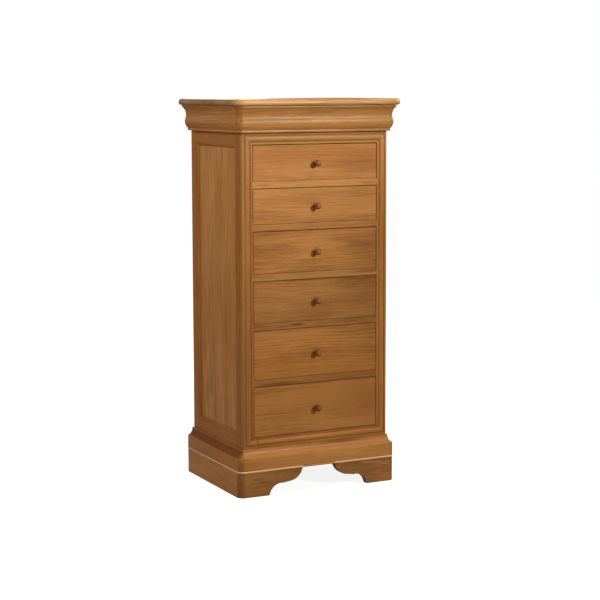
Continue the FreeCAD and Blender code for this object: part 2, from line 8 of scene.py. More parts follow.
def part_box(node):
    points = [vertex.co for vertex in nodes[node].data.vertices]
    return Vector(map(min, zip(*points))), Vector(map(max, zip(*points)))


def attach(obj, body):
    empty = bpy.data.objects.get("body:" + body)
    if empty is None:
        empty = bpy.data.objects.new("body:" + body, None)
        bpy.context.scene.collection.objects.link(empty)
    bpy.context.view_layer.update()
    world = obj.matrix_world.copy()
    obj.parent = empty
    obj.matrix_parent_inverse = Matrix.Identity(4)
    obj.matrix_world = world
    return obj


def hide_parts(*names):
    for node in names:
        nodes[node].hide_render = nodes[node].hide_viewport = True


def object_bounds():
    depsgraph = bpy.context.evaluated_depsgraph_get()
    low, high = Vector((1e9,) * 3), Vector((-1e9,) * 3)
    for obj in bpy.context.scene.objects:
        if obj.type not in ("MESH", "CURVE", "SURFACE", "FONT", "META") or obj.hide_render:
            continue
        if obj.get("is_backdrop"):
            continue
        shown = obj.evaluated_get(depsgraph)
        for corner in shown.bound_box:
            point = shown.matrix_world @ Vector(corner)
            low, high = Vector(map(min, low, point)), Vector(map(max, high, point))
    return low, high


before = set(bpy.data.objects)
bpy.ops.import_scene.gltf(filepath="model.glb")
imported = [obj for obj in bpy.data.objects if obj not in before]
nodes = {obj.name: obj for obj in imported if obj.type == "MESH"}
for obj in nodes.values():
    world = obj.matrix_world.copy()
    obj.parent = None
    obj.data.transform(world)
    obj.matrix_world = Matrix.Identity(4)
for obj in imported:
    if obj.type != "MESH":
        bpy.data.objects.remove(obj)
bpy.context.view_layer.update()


# ---------------------------------------------------------------- posts and rails of the sides
# Four solid posts run from the floor to the top board, and two rails join each pair of them.
# Oiled and waxed hardwood: the grain of a post runs upwards and that of a rail runs to the back.


def place(tree, kind, feeds=None, **fields):
    """Adds a shader node, sets its fields and feeds its sockets with values or other sockets."""
    made = tree.nodes.new(kind)
    for field, setting in fields.items():
        setattr(made, field, setting)
    for where, source in (feeds or {}).items():
        if isinstance(source, bpy.types.NodeSocket):
            tree.links.new(source, made.inputs[where])
        else:
            made.inputs[where].default_value = source
    return made


def calc(tree, operation, *terms):
    """One sum on numbers or sockets."""
    return place(tree, "ShaderNodeMath", dict(enumerate(terms)), operation=operation).outputs[0]


def scaled(tree, source, by):
    """A number times another."""
    return calc(tree, "MULTIPLY", source, by)


def added(tree, first, second):
    """A number and another."""
    return calc(tree, "ADD", first, second)


def swing(tree, source, by):
    """A number from 0 to 1 as a swing about nought."""
    return scaled(tree, calc(tree, "SUBTRACT", source, 0.5), by)


def calc_vector(tree, operation, *terms):
    """One sum on vectors; a length comes out as a number."""
    made = place(tree, "ShaderNodeVectorMath", dict(enumerate(terms)), operation=operation)
    return made.outputs["Value" if operation == "LENGTH" else "Vector"]


def noise(tree, vector, cells, detail=2.0, rough=0.5):
    """Noise drawn out along the grain."""
    drawn = calc_vector(tree, "MULTIPLY", vector, cells)
    return place(tree, "ShaderNodeTexNoise",
                 {"Vector": drawn, "Scale": 1.0, "Detail": detail, "Roughness": rough})


def ramp(tree, source, low, high, smooth=True):
    """Maps low to high onto 0 to 1."""
    kind = "SMOOTHSTEP" if smooth else "LINEAR"
    return place(tree, "ShaderNodeMapRange", {0: source, 1: low, 2: high},
                 interpolation_type=kind).outputs[0]


def mixed(tree, factor, first, second, blend="MIX"):
    """The first colour, turning into the second or blended with it."""
    return place(tree, "ShaderNodeMix", {0: factor, 6: first, 7: second},
                 data_type="RGBA", blend_type=blend).outputs[2]


STAIN_AND_SHADE_COLOUR = (0.30, 0.16, 0.08, 1)


def deepened(tree, colour, factor, by):
    """The colour darkened, by stain and by painted shade, where the factor is high."""
    return mixed(tree, scaled(tree, factor, by), colour, STAIN_AND_SHADE_COLOUR, "MULTIPLY")


# Cells per metre along, across and through a board, for each scale of its figure.
DRIFT = (1.3, 5.0, 5.0)
RIPPLE = (9.0, 60.0, 60.0)
YEARS = (40.0, 1.0, 1.0)
RING_STRENGTH = (1.1, 9.0, 9.0)
BROAD_BANDS = (2.6, 17.0, 17.0)
STREAKS = (10.0, 170.0, 170.0)
FIBRES = (30.0, 700.0, 700.0)
PORES = (48.0, 1600.0, 1600.0)
# Where the noise of a scale, or the dark late wood of a year's ring, starts to show and is full.
LATE_WOOD = (0.15, 0.9)
RINGS_SHOW = (0.32, 0.68)
BANDS_SHOW = (0.28, 0.72)
STREAKS_SHOW = (0.32, 0.70)
PORES_SHOW = (0.60, 0.72)
# What each of them gives to the tone of the wood.
RING_SHARE = 0.28
BAND_SHARE = 0.28
STREAK_SHARE = 0.26
FIBRE_SHARE = 0.24
BOARD_SHARE = 0.22
# How a board lies in its log, in metres: how far apart boards are cut along, across and through
# it, how deep the heart lies below the face, and how far it plays to either side.
CUT_APART = (9.0, 0.731, 3.0)
HEART_DEPTH = 0.05
HEART_PLAY = 0.16
DEPTH_WANDER = 2.2
RIPPLE_TURNS = 1.1
YEAR_TURNS = 2.6


def make_board_figure():
    """Growth rings cut from a log, streaks, fibre and pores. X is along the grain, Y across the
    face and Z into it."""
    tree = bpy.data.node_groups.new("board figure", "ShaderNodeTree")
    tree.interface.new_socket(name="Vector", in_out="INPUT", socket_type="NodeSocketVector")
    for name, start in (
            ("Ring Width", 0.009), ("Wander", 0.03), ("Board Width", 5.0), ("Seed", 0.0)):
        made = tree.interface.new_socket(name=name, in_out="INPUT", socket_type="NodeSocketFloat")
        made.default_value = start
    for name in ("Tone", "Fibre", "Pores"):
        tree.interface.new_socket(name=name, in_out="OUTPUT", socket_type="NodeSocketFloat")
    entry = tree.nodes.new("NodeGroupInput").outputs
    seed, wander, width = entry["Seed"], entry["Wander"], entry["Board Width"]
    apart = place(tree, "ShaderNodeSeparateXYZ", {0: entry["Vector"]}).outputs

    # Each board of a glued-up panel is cut from a place of its own.
    index = calc(tree, "FLOOR", added(tree, calc(tree, "DIVIDE", apart[1], width), 0.5))
    chance = place(tree, "ShaderNodeTexWhiteNoise", {"W": added(tree, index, seed)},
                   noise_dimensions="1D").outputs["Color"]
    luck = place(tree, "ShaderNodeSeparateColor", {0: chance}).outputs
    cut = {axis: added(tree, apart[axis], scaled(tree, draw, CUT_APART[axis]))
           for axis, draw in enumerate((luck[2], seed, luck[0]))}
    spot = place(tree, "ShaderNodeCombineXYZ", cut).outputs[0]

    # The distance from the heart of the log, which drifts along the board, gives the rings.
    drift = noise(tree, spot, DRIFT).outputs["Color"]
    bend = place(tree, "ShaderNodeSeparateXYZ", {0: drift}).outputs
    heart = calc(tree, "SUBTRACT", calc(tree, "SUBTRACT", apart[1], scaled(tree, index, width)),
                 swing(tree, luck[1], HEART_PLAY))
    side = added(tree, heart, swing(tree, bend[0], wander))
    depth = added(tree, added(tree, apart[2], HEART_DEPTH),
                  swing(tree, bend[1], scaled(tree, wander, DEPTH_WANDER)))
    radius = calc(tree, "SQRT", added(tree, calc(tree, "POWER", side, 2.0),
                                      calc(tree, "POWER", depth, 2.0)))
    ripple = noise(tree, spot, RIPPLE, 3.0, 0.6).outputs[0]
    outwards = place(tree, "ShaderNodeCombineXYZ", {0: radius}).outputs[0]
    years = noise(tree, outwards, YEARS).outputs[0]
    turns = added(tree, calc(tree, "DIVIDE", radius, entry["Ring Width"]),
                  added(tree, scaled(tree, ripple, RIPPLE_TURNS), scaled(tree, years, YEAR_TURNS)))
    cycle = calc(tree, "FRACT", turns)
    late = scaled(tree, ramp(tree, cycle, *LATE_WOOD),
                  calc(tree, "SUBTRACT", 1.0, ramp(tree, cycle, LATE_WOOD[1], 1.0)))
    strength = ramp(tree, noise(tree, spot, RING_STRENGTH).outputs[0], *RINGS_SHOW)
    rings = scaled(tree, late, strength)

    # Bands, streaks, fibre and pores run along the grain.
    bands = ramp(tree, noise(tree, spot, BROAD_BANDS).outputs[0], *BANDS_SHOW)
    streaks = ramp(tree, noise(tree, spot, STREAKS, 4.0, 0.65).outputs[0], *STREAKS_SHOW)
    fibre = noise(tree, spot, FIBRES, 3.0, 0.6).outputs[0]
    pores = ramp(tree, noise(tree, spot, PORES, 1.0).outputs[0], *PORES_SHOW)
    coarse = added(tree, scaled(tree, rings, RING_SHARE), scaled(tree, bands, BAND_SHARE))
    fine = added(tree, scaled(tree, streaks, STREAK_SHARE), scaled(tree, fibre, FIBRE_SHARE))
    tone = added(tree, added(tree, coarse, fine), swing(tree, luck[2], BOARD_SHARE))
    leave = tree.nodes.new("NodeGroupOutput")
    for name, source in (("Tone", tone), ("Fibre", fibre), ("Pores", pores)):
        tree.links.new(source, leave.inputs[name])
    return tree


BOARD_FIGURE = make_board_figure()
AXES = {"x": Vector((1, 0, 0)), "y": Vector((0, 1, 0)), "z": Vector((0, 0, 1))}


def grain_turn(along, across):
    """The turn that lays the grain's own X and Y on two axes of the chest."""
    first, second = AXES[along], AXES[across]
    return Matrix((first, second, first.cross(second))).to_euler()


MARK_FRAY = 0.9
MARK_SHOWS = (1.45, 0.55)


def marked(tree, colour, spot, fibre, centre, reach, depth):
    """The colour with a gum streak, a pin knot or a patch of painted shade in it, frayed along its
    edge by the fibre.
    """
    away = calc_vector(tree, "DIVIDE", calc_vector(tree, "SUBTRACT", spot, centre), reach)
    frayed = added(tree, calc_vector(tree, "LENGTH", away), scaled(tree, fibre, MARK_FRAY))
    return deepened(tree, colour, ramp(tree, frayed, *MARK_SHOWS), depth)


def end_grain(tree):
    """High where a turned corner cuts across the grain, half way round it."""
    normal = place(tree, "ShaderNodeTexCoord").outputs["Normal"]
    facing = place(tree, "ShaderNodeSeparateXYZ", {0: normal}).outputs
    return calc(tree, "ABSOLUTE", scaled(tree, scaled(tree, facing[0], facing[1]), 2.0))


LIGHT_WOOD = (0.610, 0.257, 0.065)
DARK_WOOD = (0.320, 0.112, 0.016)
RED_WOOD = (0.460, 0.158, 0.026)
# The middle tone of the wood, how far light and dark lie from it, and what is laid over them.
MID_TONE = 0.52
TONE_REACH = 0.30
RED_PATCHES = (0.9, 4.0, 4.0)
RED_SHOWS = (0.42, 0.68)
RED_SHARE = 0.40
PORE_SHARE = 0.30
STAIN_AND_SHADE_SHARE = 0.48
# A waxed face: its dullness, what tone and stain or painted shade add to that, and the height of
# its fibres.
WAXED_ROUGHNESS = 0.36
TONE_ROUGHNESS = 0.16
STAIN_AND_SHADE_ROUGHNESS = 0.12
FIBRE_RELIEF = 0.0003
RELIEF_STRENGTH = 0.22
COAT_ROUGHNESS = 0.30
WAX_TINT = (1.0, 0.86, 0.72, 1)


def wood(name, along, across, seed, tint=1.0, light=LIGHT_WOOD, dark=DARK_WOOD, red=RED_WOOD,
         ring=0.009, wander=0.03, board=5.0, shift=(0, 0, 0), figured=1.0, turned=0.0, marks=(),
         gloss=0.05, shine=0.26):
    """Waxed hardwood with its figure laid along one axis and its sizes in metres. The seed says
    where in the log a board is cut, the tint how pale it is and figured how strong its contrast.
    Turned is how dark the end grain of turned corners is, and gloss and shine are those of the
    wax. Real stain and painted shade darken it where the vertices of a piece say so."""
    light, dark, red = ([share * tint for share in colour] + [1] for colour in (light, dark, red))
    made = bpy.data.materials.new(name)
    made.use_nodes = True
    tree = made.node_tree
    shader = tree.nodes["Principled BSDF"]
    spot = place(tree, "ShaderNodeTexCoord").outputs["Object"]
    turn = {"Vector": spot, "Rotation": grain_turn(along, across), "Location": shift}
    laid = place(tree, "ShaderNodeMapping", turn).outputs[0]
    cut = {"Vector": laid, "Ring Width": ring, "Wander": wander, "Board Width": board,
           "Seed": seed}
    figure = place(tree, "ShaderNodeGroup", cut, node_tree=BOARD_FIGURE).outputs
    tone, fibre, pores = figure["Tone"], figure["Fibre"], figure["Pores"]

    reach = TONE_REACH / figured
    body = mixed(tree, ramp(tree, tone, MID_TONE - reach, MID_TONE + reach, False), light, dark)
    patch = ramp(tree, noise(tree, laid, RED_PATCHES).outputs[0], *RED_SHOWS)
    body = mixed(tree, scaled(tree, patch, RED_SHARE), body, red)
    body = mixed(tree, scaled(tree, pores, PORE_SHARE), body, dark)
    # The vertices carry real stain in end grain and painted shade in corners, hollows and strips.
    stain_and_shade = place(tree, "ShaderNodeAttribute", attribute_name="stain_and_shade").outputs["Fac"]
    body = deepened(tree, body, stain_and_shade, STAIN_AND_SHADE_SHARE)
    for laid_mark in marks:
        body = marked(tree, body, spot, fibre, *laid_mark)
    if turned:
        body = deepened(tree, body, end_grain(tree), turned)
    tree.links.new(body, shader.inputs["Base Color"])

    dull = added(tree, added(tree, WAXED_ROUGHNESS, scaled(tree, tone, TONE_ROUGHNESS)),
                 scaled(tree, stain_and_shade, STAIN_AND_SHADE_ROUGHNESS))
    tree.links.new(dull, shader.inputs["Roughness"])
    relief = {"Height": calc(tree, "SUBTRACT", scaled(tree, fibre, 0.5), pores),
              "Strength": RELIEF_STRENGTH, "Distance": FIBRE_RELIEF}
    tree.links.new(place(tree, "ShaderNodeBump", relief).outputs[0], shader.inputs["Normal"])
    shader.inputs["Specular IOR Level"].default_value = shine
    shader.inputs["Specular Tint"].default_value = WAX_TINT
    shader.inputs["Coat Weight"].default_value = gloss
    shader.inputs["Coat Roughness"].default_value = COAT_ROUGHNESS
    return made


def dress(name, material):
    """Gives a CAD node its finish."""
    slots = nodes[name].data.materials
    slots.clear()
    slots.append(material)


SIDES = {"left": -1, "right": 1}
POST_WOOD = dict(light=(0.68, 0.255, 0.050), dark=(0.44, 0.130, 0.014))
for turn, side in enumerate(SIDES):
    for name, along, across, seed, tint, ring in (
            ("front stile", "z", "y", 1.3, 0.64, 0.006),
            ("rear stile", "z", "y", 3.3, 0.77, 0.006),
            # The side top rails are tinted darker than the bottom rails: painted shade under the
            # cornice.
            ("side top rail", "y", "z", 5.3, 0.70, 0.007),
            ("side bottom rail", "y", "z", 7.3, 0.78, 0.007)):
        finish = wood(f"{name} {side}", along, across, seed=seed + turn, tint=tint, ring=ring,
                      figured=0.7, gloss=0.02, shine=0.14, **POST_WOOD)
        dress(f"{name} {side}".replace(" ", "_"), finish)


# ---------------------------------------------------------------- side panels
# Each side is filled by a loose panel glued up from upright boards, planed flush and waxed.
PANEL_BOARD = 0.172
FIRST_JOINT = 0.052
for turn, side in enumerate(SIDES):
    finish = wood(f"side panel {side}", "z", "y", seed=11.7 + turn, tint=1.12,
                  light=(0.600, 0.266, 0.082), board=PANEL_BOARD, shift=(0, FIRST_JOINT, 0),
                  figured=0.85, shine=0.18)
    dress(f"side_panel_{side}", finish)


# ---------------------------------------------------------------- strips round the panels
# Small ovolo strips hide the joint between panel and frame, mitred at the four corners and pinned.
# Their section, like every section below, is in millimetres.
STRIP = [(0, 0), (0, 7.5), (2, 7.5, -8.516), (10, 0)]
STRIP_HEIGHT = 0.0075
STRIP_ARRIS = 0.0003
STRIP_WOOD = dict(tint=0.80, gloss=0.02, shine=0.14)
# What all the mouldings share: the rounding of an edge and the angle from which it is rounded, the
# steps along an arc (millimetres, and the fewest), and the inward turn, in radians, of a corner
# that is darkened with painted shade and how far that shade reaches.
ARRIS = 0.0005
EASED_FROM = math.radians(28)
ARC_STEP = 0.9
FEWEST_STEPS = 5
INNER_CORNER = -0.35
SHADE_REACH = 0.003
# Points nearer than this are one point, and heights nearer than this are one height.
WELD = 1e-6
LEVEL_WITHIN = 1e-5


def section_points(corners, arc_step=ARC_STEP):
    """A section in millimetres as points in metres. A third number is the radius of the run that
    follows: above zero where it bulges to the right of the way, below zero where it is hollow."""
    points = []
    for here, after in zip(corners, corners[1:] + corners[:1]):
        start, end = Vector(here[:2]), Vector(after[:2])
        points.append(start / 1000)
        if len(here) < 3:
            continue
        run = end - start
        radius = abs(here[2])
        left = Vector((-run.y, run.x)).normalized() * math.copysign(1, here[2])
        centre = (start + end) / 2 + left * math.sqrt(radius ** 2 - run.length_squared / 4)
        sweep = (start - centre).angle_signed(end - centre)
        steps = max(FEWEST_STEPS, round(radius * abs(sweep) / arc_step))
        for step in range(1, steps):
            turn = Matrix.Rotation(-sweep * step / steps, 2)
            points.append((centre + turn @ (start - centre)) / 1000)
    return points


def section_loop(bm, points, lay):
    """Draws the section as a ring of edges, each point laid out by a function. A point in an inner
    corner carries painted shade, and a plain point on each side of it keeps that shade narrow."""
    stain_and_shade = bm.verts.layers.float.get("stain_and_shade") or bm.verts.layers.float.new("stain_and_shade")
    around = list(zip(points[-1:] + points[:-1], points, points[1:] + points[:1]))
    area = sum(here.x * after.y - here.y * after.x for before, here, after in around)
    turning = math.copysign(1, area)
    shaded_points = []
    for before, here, after in around:
        inner = (here - before).angle_signed(after - here) * -turning < INNER_CORNER
        if inner and (before - here).length > 2 * SHADE_REACH:
            shaded_points.append((here + (before - here).normalized() * SHADE_REACH, 0.0))
        shaded_points.append((here, 1.0 if inner else 0.0))
        if inner and (after - here).length > 2 * SHADE_REACH:
            shaded_points.append((here + (after - here).normalized() * SHADE_REACH, 0.0))
    verts = []
    for spot, depth in shaded_points:
        verts.append(bm.verts.new(lay(spot)))
        verts[-1][stain_and_shade] = depth
    return [bm.edges.new(pair) for pair in zip(verts, verts[1:] + verts[:1])]


def stretch(bm, ring, way):
    """Draws a ring of edges out along a way and gives back the ring at its far end."""
    grown = bmesh.ops.extrude_edge_only(bm, edges=ring)["geom"]
    ends = {part for part in grown if isinstance(part, bmesh.types.BMVert)}
    bmesh.ops.translate(bm, verts=list(ends), vec=way)
    return [part for part in grown
            if isinstance(part, bmesh.types.BMEdge) and set(part.verts) <= ends]


def close_and_ease(bm, arris=ARRIS):
    """Caps the open ends, turns the faces outwards and rounds the sharp edges a little."""
    bmesh.ops.remove_doubles(bm, verts=bm.verts, dist=WELD)
    bmesh.ops.holes_fill(bm, edges=bm.edges)
    bmesh.ops.recalc_face_normals(bm, faces=bm.faces)
    sharp = [edge for edge in bm.edges
             if edge.is_manifold and edge.calc_face_angle(0) > EASED_FROM]
    bmesh.ops.bevel(bm, geom=sharp, offset=arris, segments=2, profile=0.5, affect="EDGES",
                    clamp_overlap=True, material=-1)


def piece(name, bm, material, body, stands_for=(), smooth_below=32, inlay=None):
    """Turns a bmesh into a smooth-shaded piece that rides on a body."""
    mesh = bpy.data.meshes.new(name)
    for face in bm.faces:
        face.smooth = True
    for edge in bm.edges:
        edge.smooth = edge.is_manifold and edge.calc_face_angle(0) < math.radians(smooth_below)
    bm.to_mesh(mesh)
    bm.free()
    made = bpy.data.objects.new(name, mesh)
    bpy.context.scene.collection.objects.link(made)
    mesh.materials.append(material)
    if inlay:
        mesh.materials.append(inlay)
    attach(made, body)
    if stands_for:
        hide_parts(*stands_for)


def mitred_bar(bm, section, matrix, length):
    """One bar of a frame: X is inwards, Y out to the eye, Z along; both ends cut at 45 degrees."""
    along = (matrix.to_3x3() @ Vector((0, 0, 1))).normalized()
    ring = section_loop(bm, section, lambda p: matrix @ Vector((p.x, p.y, p.x)))
    for vert in {end for edge in stretch(bm, ring, (0, 0, 0)) for end in edge.verts}:
        inset = (matrix.inverted() @ vert.co).x
        vert.co += along * (length - 2 * inset)


def frame_bars(origin, right, up, out, width, height):
    """Names, places and lengths of the left, top, right and bottom bars of a frame."""
    for name, start, inwards, along, length in (
            ("left", origin, right, up, height),
            ("top", origin + up * height, -up, right, width),
            ("right", origin + right * width, -right, up, height),
            ("bottom", origin, up, right, width)):
        matrix = Matrix((inwards, out, along)).transposed().to_4x4()
        matrix.translation = start
        yield name, matrix, length


for side, way in SIDES.items():
    low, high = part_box(f"panel_moulding_{side}")
    seat = max(low.x * way, high.x * way) - STRIP_HEIGHT
    upright, level = bmesh.new(), bmesh.new()
    for name, matrix, length in frame_bars(Vector((way * seat, low.y, low.z)), AXES["y"], AXES["z"],
                                           Vector((way, 0, 0)), high.y - low.y, high.z - low.z):
        mitred_bar(upright if name in SIDES else level, section_points(STRIP), matrix, length)
    for kind, bm, along, across in (("upright", upright, "z", "y"), ("level", level, "y", "z")):
        close_and_ease(bm, STRIP_ARRIS)
        finish = wood(f"panel strips {kind} {side}", along, across, seed=17.1 + way, **STRIP_WOOD)
        piece(f"panel_strips_{kind}_{side}", bm, finish, "case", [f"panel_moulding_{side}"])


# ---------------------------------------------------------------- rails and runners inside the case
# A rail lies between each two drawers, flush with their fronts. Behind it the drawers run on
# L-shaped runners of plain planed wood, screwed to the posts.
PALE_WOOD = dict(light=(0.640, 0.440, 0.235), dark=(0.430, 0.262, 0.120),
                 red=(0.560, 0.350, 0.170))
MARK_THROUGH = 0.1
DRAWER_FACE = -0.19


def mark(x, z, wide, tall, depth, y=DRAWER_FACE):
    """A gum streak, knot or patch of painted shade in the front: its middle, its half width and
    half height in metres, and how dark it is."""
    return (x, y, z), (wide, MARK_THROUGH, tall), depth


RAIL_TINTS = (1.02, 0.97, 0.90, 0.90, 0.82)
RAIL_MARKS = {
    1: [mark(-0.10, 1.070, 0.090, 0.005, 0.3), mark(-0.20, 1.062, 0.050, 0.006, 0.35),
        mark(0.20, 1.060, 0.050, 0.006, 0.5)],
    3: [mark(0.205, 0.752, 0.110, 0.010, 0.55)],
    4: [mark(-0.071, 0.581, 0.045, 0.006, 0.8), mark(-0.130, 0.577, 0.045, 0.004, 0.5)],
    5: [mark(-0.150, 0.381, 0.110, 0.009, 0.5)],
}
for number, tint in enumerate(RAIL_TINTS, start=1):
    finish = wood(f"rail {number}", "x", "z", seed=20.4 + 2.3 * number, tint=tint, ring=0.005,
                  light=(0.590, 0.258, 0.070), figured=1.3, marks=RAIL_MARKS.get(number, ()))
    dress(f"drawer_rail_{number}", finish)
dress("drawer_runners", wood("runners", "y", "x", seed=31.0, **PALE_WOOD))


# ---------------------------------------------------------------- back panel
# One sheet of plywood lies in the rebates of the rear posts and is pinned along its edges with
# small steel pins.
PIN_ROWS = 9
PIN_INSET = 0.004
FIRST_PIN = 0.05
PIN_HEAD = dict(cap_ends=True, segments=14, radius1=0.0022, radius2=0.0016, depth=0.0008)
PIN_SUNK = 0.0001
STEEL_DARK = (0.42, 0.41, 0.39, 1)
STEEL_LIGHT = (0.62, 0.60, 0.57, 1)
SCUFFS = (900, 900, 900)

dress("back_panel", wood("back panel", "z", "x", seed=33.0, ring=0.022, wander=0.09,
                         figured=0.6, **PALE_WOOD))
bright_steel = bpy.data.materials.new("bright pin")
bright_steel.use_nodes = True
tree = bright_steel.node_tree
shader = tree.nodes["Principled BSDF"]
shader.inputs["Metallic"].default_value = 1.0
scuff = noise(tree, place(tree, "ShaderNodeTexCoord").outputs["Object"], SCUFFS).outputs[0]
tree.links.new(mixed(tree, scuff, STEEL_DARK, STEEL_LIGHT), shader.inputs["Base Color"])
tree.links.new(ramp(tree, scuff, -0.6, 1.8, False), shader.inputs["Roughness"])

low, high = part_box("back_panel")
pins = bmesh.new()
for row in range(PIN_ROWS):
    level = low.z + FIRST_PIN + row * (high.z - low.z - 2 * FIRST_PIN) / (PIN_ROWS - 1)
    for across in (low.x + PIN_INSET, high.x - PIN_INSET):
        spot = Matrix.Translation((across, high.y - PIN_SUNK, level))
        bmesh.ops.create_cone(pins, matrix=spot @ Matrix.Rotation(-math.pi / 2, 4, "X"), **PIN_HEAD)
piece("back_pins", pins, bright_steel, "case")


# ---------------------------------------------------------------- feet and foot boards
# Scrolled bracket feet are sawn from thick board and turn the front corners with a quarter round;
# a straight board stands behind each of them along the side. The figure in them is wild and knotty.
FOOT = [(0, 0), (88, 0, -45.34), (140, 38.5), (170, 42.5, 54.68), (215, 85.5), (0, 85.5)]
FOOT_OUT = 0.0245
FOOT_ARRIS = 0.0009
FOOT_ARC_STEP = 3
# Feet, plinth and cornice turn the front corners about upright axes this far from the middle.
HALF_CASE = 0.277
low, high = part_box("front_foot_left")
FRONT_Y, FOOT_TOP = high.y, high.z
SWIRL = [mark(-0.232, 0.060, 0.028, 0.006, 0.5, y=-0.22),
         mark(-0.214, 0.048, 0.026, 0.005, 0.5, y=-0.22),
         mark(-0.242, 0.032, 0.030, 0.005, 0.4, y=-0.22)]
FOOT_WOOD = dict(dark=(0.270, 0.112, 0.026), ring=0.012, wander=0.13, figured=1.4, turned=0.40)


def front_foot(way):
    """A foot along the front, and a quarter turn of it about the corner of the case."""
    bm = bmesh.new()
    corner = Vector((-HALF_CASE, FRONT_Y, 0))
    outline = [Vector((-HALF_CASE + p.x, FRONT_Y, p.y))
               for p in section_points(FOOT, FOOT_ARC_STEP)]
    face = bm.faces.new([bm.verts.new(p) for p in outline])
    grown = bmesh.ops.extrude_face_region(bm, geom=[face])["geom"]
    front = [part for part in grown if isinstance(part, bmesh.types.BMVert)]
    bmesh.ops.translate(bm, verts=front, vec=(0, -FOOT_OUT, 0))
    end = [f for f in bm.faces if all(abs(v.co.x + HALF_CASE) < WELD for v in f.verts)]
    bmesh.ops.delete(bm, geom=end, context="FACES_ONLY")
    ring = [edge for edge in bm.edges if edge.is_boundary]
    bmesh.ops.spin(bm, geom=ring, cent=corner, axis=(0, 0, 1), angle=-math.pi / 2, steps=14)
    close_and_ease(bm, FOOT_ARRIS)
    if way > 0:
        bmesh.ops.scale(bm, verts=bm.verts, vec=(-1, 1, 1))
        bmesh.ops.reverse_faces(bm, faces=bm.faces)
    return bm


for turn, (side, way) in enumerate(SIDES.items()):
    burr = wood(f"foot {side}", "x", "z", seed=37.9 + 3 * turn, tint=0.71 + 0.17 * turn,
                marks=SWIRL, **FOOT_WOOD)
    piece(f"foot_{side}", front_foot(way), burr, "case", [f"front_foot_{side}"])
    finish = wood(f"foot board {side}", "y", "z", seed=43.9 + turn, tint=1.08)
    dress(f"side_foot_board_{side}", finish)


# ---------------------------------------------------------------- plinth mouldings
# A deep fascia under a scotia and a fillet, with a bead along its lower edge that is of pale wood
# over the feet and down the sides. The front length turns both corners and meets the side lengths.
PLINTH = [(0, 0), (25, 0, 3.834), (25, 6.5), (25, 49.5, -26.85), (8, 72), (8, 77.5), (0, 77.5)]
SCOTIA = (FOOT_TOP + 0.0505, FOOT_TOP + 0.0722)
# Painted shade in the hollow of the scotia along the sides, where less light reaches.
SCOTIA_SHADE = 1.35
BEAD_TOP = FOOT_TOP + 0.0063
BEAD_OUT = 0.0246
BEAD_END = 0.062
BEAD_WOOD = dict(light=(0.950, 0.630, 0.320), dark=(0.860, 0.520, 0.230),
                 red=(0.860, 0.520, 0.230))
REAR_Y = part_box("base_moulding_left")[1].y


def wrapped_moulding(section, level, least=0):
    """A length along the front that turns both corners by a quarter turn. No point of the section
    comes nearer to the axis of a corner than the least distance."""
    bm = bmesh.new()
    ring = section_loop(bm, section_points(section),
                        lambda p: Vector((-HALF_CASE - max(p.x, least), FRONT_Y, level + p.y)))
    quarter = dict(axis=(0, 0, 1), angle=math.pi / 2, steps=16)
    turned = bmesh.ops.spin(bm, geom=ring, cent=(-HALF_CASE, FRONT_Y, 0), **quarter)["geom_last"]
    edges = [part for part in turned if isinstance(part, bmesh.types.BMEdge)]
    far = stretch(bm, edges, (2 * HALF_CASE, 0, 0))
    bmesh.ops.spin(bm, geom=far, cent=(HALF_CASE, FRONT_Y, 0), **quarter)
    return bm


def side_moulding(section, level, rear, front, way):
    """A length along one side, from the back to the front corner."""
    bm = bmesh.new()
    ring = section_loop(bm, section_points(section),
                        lambda p: Vector((way * (HALF_CASE + p.x), rear, level + p.y)))
    stretch(bm, ring, (0, front - rear, 0))
    return bm


def sidewards(spot, corner_x, corner_y):
    """How far a spot faces the side: 0 along the front, 1 along the side, more and more between."""
    turned = math.atan2(abs(spot.x) - corner_x, max(corner_y - spot.y, 0))
    return max(math.sin(turned), 0) ** 2


def shade_scotia(bm):
    """Paints shade into the scotia along the sides; it fades out round the front corners."""
    stain_and_shade = bm.verts.layers.float["stain_and_shade"]
    for vert in bm.verts:
        if SCOTIA[0] < vert.co.z < SCOTIA[1]:
            depth = SCOTIA_SHADE * sidewards(vert.co, HALF_CASE, FRONT_Y)
            vert[stain_and_shade] = max(vert[stain_and_shade], depth)


def lay_bead(bm):
    """Gives the bead to the inlay over the feet and along the sides, not over the gap between."""
    for across in (-BEAD_END, BEAD_END):
        bmesh.ops.bisect_plane(bm, geom=bm.verts[:] + bm.edges[:] + bm.faces[:],
                               plane_co=(across, 0, 0), plane_no=(1, 0, 0))
    for face in bm.faces:
        spot = face.calc_center_median()
        outer = max(abs(spot.x) - HALF_CASE, 0) ** 2 + max(FRONT_Y - spot.y, 0) ** 2
        if spot.z < BEAD_TOP and outer > BEAD_OUT ** 2 and abs(spot.x) > BEAD_END:
            face.material_index = 1


def plinth_length(side, bm, finish, bead):
    """Finishes one length of the plinth."""
    close_and_ease(bm)
    shade_scotia(bm)
    lay_bead(bm)
    piece(f"plinth_{side}", bm, finish, "case", [f"base_moulding_{side}"], inlay=bead)


bead = wood("pale bead", "x", "z", seed=50.1, **BEAD_WOOD)
finish = wood("plinth front", "x", "z", seed=51.2, tint=1.04, ring=0.014, turned=0.40,
              marks=[mark(0.100, 0.160, 0.110, 0.008, 0.6, y=-0.20)])
plinth_length("front", wrapped_moulding(PLINTH, FOOT_TOP), finish, bead)
for turn, (side, way) in enumerate(SIDES.items()):
    bead = wood(f"pale bead {side}", "y", "z", seed=50.3 + turn, **BEAD_WOOD)
    finish = wood(f"plinth {side}", "y", "z", seed=54.6 + turn, tint=0.97, ring=0.014,
                  figured=0.6, gloss=0.02, shine=0.14)
    plinth_length(side, side_moulding(PLINTH, FOOT_TOP, REAR_Y, FRONT_Y, way), finish, bead)


